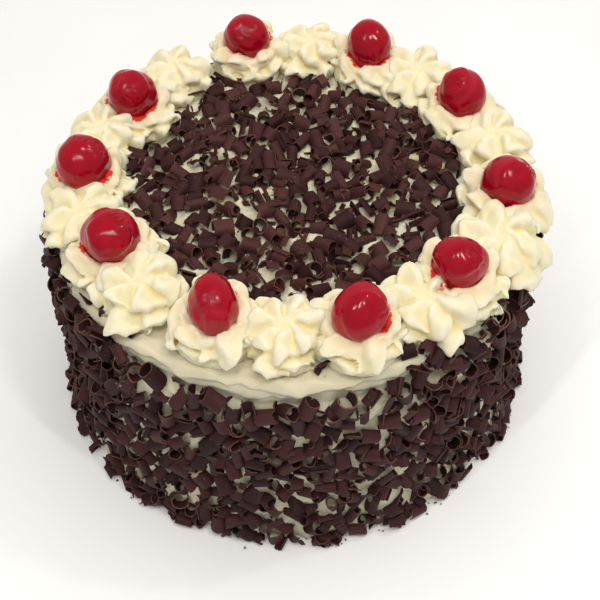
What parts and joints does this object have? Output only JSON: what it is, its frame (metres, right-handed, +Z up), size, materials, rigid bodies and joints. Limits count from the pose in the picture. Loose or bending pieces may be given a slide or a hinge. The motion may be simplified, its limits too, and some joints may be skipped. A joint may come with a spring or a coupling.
{
  "type": "black forest cake",
  "caption": "Whole round black forest cake: cream cake coated in chocolate curls on its side and top, with a ring of piped cream rosettes and glossy red cherries on alternate rosettes.",
  "frame": {"origin": "middle of the cake's flat underside, on the surface it stands on", "axes": "+Z up the cake's axis, -Y to the front, where a band of bare cream shows below the rosettes"},
  "size_m": [0.2217, 0.2213, 0.1355],
  "materials": {
    "chocolate": "matt dark chocolate curls over whipped cream",
    "cream": "soft satin whipped cream",
    "cherry": "glossy syrup-wet cherry"
  },
  "bodies": {
    "root": {"cake": "chocolate", "rosette_01": "cream", "rosette_02": "cream", "rosette_03": "cream", "rosette_04": "cream", "rosette_05": "cream", "rosette_06": "cream", "rosette_07": "cream", "rosette_08": "cream", "rosette_09": "cream", "rosette_10": "cream", "rosette_11": "cream", "rosette_12": "cream", "rosette_13": "cream", "rosette_14": "cream", "rosette_15": "cream", "rosette_16": "cream", "rosette_17": "cream", "rosette_18": "cream", "rosette_19": "cream", "rosette_20": "cream", "cherry_02": "cherry", "cherry_04": "cherry", "cherry_06": "cherry", "cherry_08": "cherry", "cherry_10": "cherry", "cherry_12": "cherry", "cherry_14": "cherry", "cherry_16": "cherry", "cherry_18": "cherry", "cherry_20": "cherry"}
  },
  "joints": []
}
